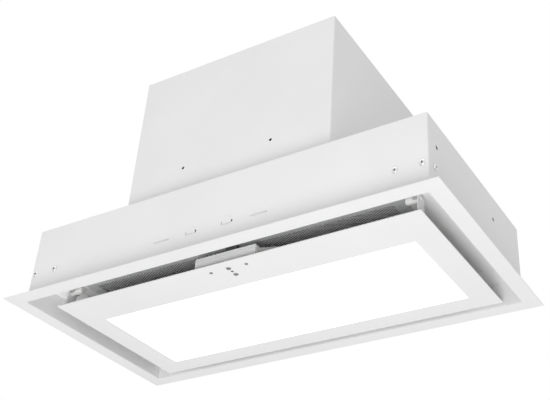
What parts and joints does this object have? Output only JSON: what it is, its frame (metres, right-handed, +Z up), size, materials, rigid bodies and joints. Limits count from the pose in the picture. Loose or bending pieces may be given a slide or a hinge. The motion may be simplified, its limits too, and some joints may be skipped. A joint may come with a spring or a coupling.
{
  "type": "built-in range hood",
  "caption": "Built-in range hood with a lit hinged suction panel over a grease filter, a canopy with a cabinet flange, a motor housing and a duct collar with flaps.",
  "frame": {"origin": "centre of the flange's underside, the plane that faces the hob", "axes": "+X to the right along the long side, +Y to the back towards the wall, +Z up to the duct"},
  "size_m": [0.56, 0.291, 0.3366],
  "materials": {
    "white_paint": "smooth satin white powder coat",
    "zinc_plate": "plain zinc plated steel sheet",
    "spring_steel": "bright plated spring strip",
    "screw_steel": "bright zinc plated screws",
    "shaft_steel": "ground steel rod",
    "duct_plastic": "fine moulded grey plastic",
    "blower_plastic": "moulded dark plastic",
    "gasket_foam": "black closed-cell foam",
    "motor_steel": "deep-drawn zinc plated motor shell",
    "core_steel": "stacked motor laminations",
    "bearing_bronze": "sintered bronze",
    "box_plastic": "light grey flame-retardant plastic",
    "board_green": "printed circuit board with its parts",
    "capacitor_white": "white moulded capacitor case",
    "gland_black": "black nylon",
    "filter_aluminium": "plain aluminium sheet",
    "filter_mesh_metal": "grey expanded metal mesh",
    "filter_layers": "crimped aluminium mesh layer",
    "latch_plastic": "dark moulded plastic",
    "panel_white": "smooth white powder coat",
    "diffuser_white": "opal acrylic",
    "guide_clear": "clear acrylic light guide",
    "strip_white": "white boards with small diodes",
    "tray_steel": "thin painted sheet",
    "lens_smoke": "smoked clear lens",
    "lead_grey": "light grey jacket and gland",
    "pin_white": "white nylon",
    "button_grey": "grey moulded plastic"
  },
  "bodies": {
    "hood": {"flange_frame": "white_paint", "front_wall": "white_paint", "back_wall": "white_paint", "left_wall": "white_paint", "right_wall": "white_paint", "canopy_top": "white_paint", "recess_ceiling": "white_paint", "filter_rails": "white_paint", "catch_clips": "spring_steel", "hinge_brackets": "zinc_plate", "body_screws": "screw_steel", "housing_shell": "white_paint", "housing_back": "white_paint", "housing_top": "white_paint", "housing_screws": "screw_steel", "duct_collar": "duct_plastic", "flap_spindle": "shaft_steel", "scroll_left": "blower_plastic", "scroll_right": "blower_plastic", "scroll_screws": "screw_steel", "outlet_gasket": "gasket_foam", "motor_mount": "motor_steel", "motor_can": "motor_steel", "motor_endcap": "motor_steel", "motor_stator": "core_steel", "motor_bearings": "bearing_bronze", "junction_box": "box_plastic", "junction_lid": "box_plastic", "power_board": "board_green", "run_capacitor": "capacitor_white", "cable_gland": "gland_black", "filter_frame": "filter_aluminium", "filter_mesh": "filter_mesh_metal", "filter_media": "filter_layers"},
    "panel": {"panel_face": "panel_white", "light_diffuser": "diffuser_white", "light_guide": "guide_clear", "led_strips": "strip_white", "light_tray": "tray_steel", "control_box": "box_plastic", "control_board": "board_green", "indicator_lens": "lens_smoke", "control_lead": "lead_grey", "catch_brackets": "white_paint", "catch_pins": "pin_white", "hinge_leaves": "zinc_plate", "hinge_pins": "shaft_steel"},
    "impeller": {"impeller_left": "blower_plastic", "impeller_right": "blower_plastic", "impeller_disc": "blower_plastic", "motor_shaft": "shaft_steel", "motor_rotor": "core_steel"},
    "flap_front": {"flap_front": "duct_plastic"},
    "flap_back": {"flap_back": "duct_plastic"},
    "latch": {"filter_latch": "latch_plastic"},
    "button_power": {"button_power": "button_grey"},
    "button_light": {"button_light": "button_grey"},
    "button_plus": {"button_plus": "button_grey"},
    "button_minus": {"button_minus": "button_grey"}
  },
  "joints": [
    {"name": "panel_hinge", "type": "hinge", "parent": "hood", "child": "panel", "pos_m": [0, 0.115, 0.0095], "axis": [1, 0, 0], "range_deg": [0, 85]},
    {"name": "impeller_spin", "type": "hinge", "parent": "hood", "child": "impeller", "pos_m": [0, -0.021, 0.1966], "axis": [1, 0, 0], "continuous": true},
    {"name": "flap_front_hinge", "type": "hinge", "parent": "hood", "child": "flap_front", "pos_m": [0, 0.025, 0.3102], "axis": [-1, 0, 0], "range_deg": [0, 80]},
    {"name": "flap_back_hinge", "type": "hinge", "parent": "hood", "child": "flap_back", "pos_m": [0, 0.025, 0.3102], "axis": [1, 0, 0], "range_deg": [0, 80]},
    {"name": "latch_slide", "type": "slide", "parent": "hood", "child": "latch", "axis": [0, 1, 0], "range_m": [0, 0.0035], "stiffness_N_per_m": 900, "springref_m": -0.002},
    {"name": "button_power_press", "type": "slide", "parent": "panel", "child": "button_power", "axis": [0, 0, 1], "range_m": [0, 0.0008], "stiffness_N_per_m": 600, "springref_m": -0.0005},
    {"name": "button_light_press", "type": "slide", "parent": "panel", "child": "button_light", "axis": [0, 0, 1], "range_m": [0, 0.0008], "stiffness_N_per_m": 600, "springref_m": -0.0005},
    {"name": "button_plus_press", "type": "slide", "parent": "panel", "child": "button_plus", "axis": [0, 0, 1], "range_m": [0, 0.0008], "stiffness_N_per_m": 600, "springref_m": -0.0005},
    {"name": "button_minus_press", "type": "slide", "parent": "panel", "child": "button_minus", "axis": [0, 0, 1], "range_m": [0, 0.0008], "stiffness_N_per_m": 600, "springref_m": -0.0005}
  ]
}
